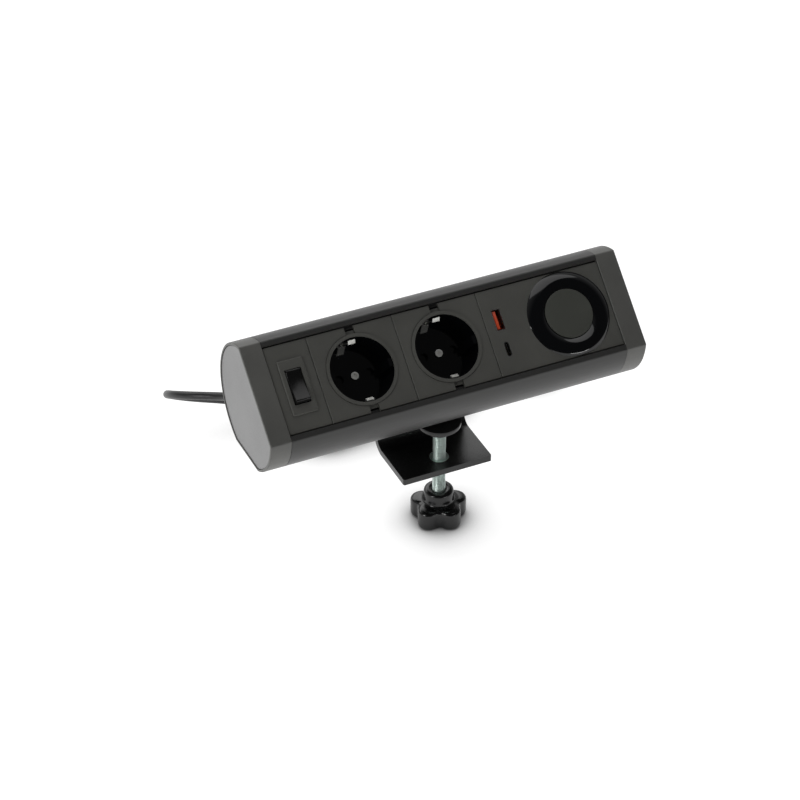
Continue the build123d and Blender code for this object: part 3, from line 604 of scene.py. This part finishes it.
def make_rocker():
    """A button with a hollowed top, rounded rims and round ends, its lower end out."""
    reaches = [-ROCKER_HOLLOW_REACH + 2 * ROCKER_HOLLOW_REACH * step / ROCKER_HOLLOW_STEPS
               for step in range(ROCKER_HOLLOW_STEPS + 1)]
    top = [(reach, 0.75 + 1.35 * (abs(reach) / ROCKER_HOLLOW_REACH) ** 2.2) for reach in reaches]
    outline = [(-9.0, -6.0), (-9.5, -4.0), (-10.3, -1.8), (-10.2, 0.4), (-9.9, 1.5), (-9.65, 1.95)]
    outline += top + [(-reach, out) for reach, out in reversed(outline)]
    edges = ((-1, 0.55), (-0.985, 0.25), (-0.95, 0.07), (-0.9, 0.0),
             (0.9, 0.0), (0.95, 0.07), (0.985, 0.25), (1, 0.55))
    cosine, sine = math.cos(ROCKER_TILT), math.sin(ROCKER_TILT)
    rings = []
    for side, inset in edges:
        ring = []
        for reach, out in outline:
            reach *= 1 - inset / ROCKER_RADIUS
            out = ROCKER_PIVOT + (out - ROCKER_PIVOT) * (1 - inset / 4)
            up = reach * cosine - (out - ROCKER_PIVOT) * sine
            outward = ROCKER_PIVOT + reach * sine + (out - ROCKER_PIVOT) * cosine
            ring.append(face_point(SWITCH_X + side * ROCKER_WIDTH / 2, up, outward))
        rings.append(ring)
    vertices, faces = skin(rings)
    rocker = finish_mesh("rocker_button", vertices, faces, "rocker_plastic", "rocker", math.radians(50))
    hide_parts("rocker")


def make_bars(name, rows, material_slot):
    """Several bars with eased edges as one piece; a row is (x, up, out, width, height, depth)."""
    mesh = bpy.data.meshes.new(name)
    work = bmesh.new()
    for x, up, out, width, height, depth in rows:
        made = bmesh.ops.create_cube(work, size=1.0)["verts"]
        for vertex in made:
            place = vertex.co
            vertex.co = face_point(x + place.x * width, up + place.y * height, out + place.z * depth)
        edges = list({edge for vertex in made for edge in vertex.link_edges})
        ease = min(width, height, depth) * 0.18 * MM
        bmesh.ops.bevel(work, geom=edges, offset=ease, segments=2, profile=0.5, affect="EDGES")
    bmesh.ops.recalc_face_normals(work, faces=work.faces)
    work.to_mesh(mesh)
    work.free()
    mesh.shade_smooth()
    mesh.set_sharp_from_angle(angle=math.radians(40))
    mesh.materials.append(MATERIALS[material_slot])
    piece = bpy.data.objects.new(name, mesh)
    bpy.context.scene.collection.objects.link(piece)
    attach(piece, "root")
    return piece


def make_usb_inserts():
    """The moulded tongues of both ports, with their contacts laid in."""
    a_block = (USB_X, USB_A_UP, BOARD_TOP + 1.75, 5.0, 12.4, 3.5)
    a_tongue = (USB_X - 0.9, USB_A_UP, -6.75, 1.9, 11.0, 9.9)
    tongue_a = make_bars("usb_a_insert", (a_block, a_tongue), "usb_orange")
    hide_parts("usb_a_tongue")
    make_bars("usb_a_contacts", [(USB_X + 0.08, USB_A_UP + step, -6.4, 0.16, 1.0, 8.2)
                                 for step in (-3.5, -1.0, 1.0, 3.5)], "brass")
    c_block = (USB_X, USB_C_UP, BOARD_TOP + 3.5, 2.5, 7.3, 7.0)
    c_tongue = (USB_X, USB_C_UP, -4.9, 0.7, 6.6, 6.6)
    tongue_c = make_bars("usb_c_insert", (c_block, c_tongue), "rocker_plastic")
    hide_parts("usb_c_tongue")
    for side in (-1, 1):
        make_bars(f"usb_c_contacts_{'left' if side < 0 else 'right'}",
                  [(USB_X + side * 0.36, USB_C_UP + (step - 5.5) * 0.5, -4.2, 0.06, 0.26, 4.2)
                   for step in range(12)], "brass")


# ---------------------------------------------------------------- build

def dress_cad_nodes():
    """Gives each shown CAD node the material of its slot."""
    slots = {row["node"]: row["material_slot"] for row in frame["record"]["subparts"]}
    for name, node in frame["nodes"].items():
        node.data.materials.clear()
        node.data.materials.append(MATERIALS[slots[name]])


place_camera()
MATERIALS = make_materials()
lay_floor()
light_studio()
dress_cad_nodes()
LEAD = make_lead()
RELIEF = make_strain_relief()
TIE = make_tie(LEAD)
PLUG = make_plug()
make_screw()
make_knob()
make_rocker()
make_usb_inserts()
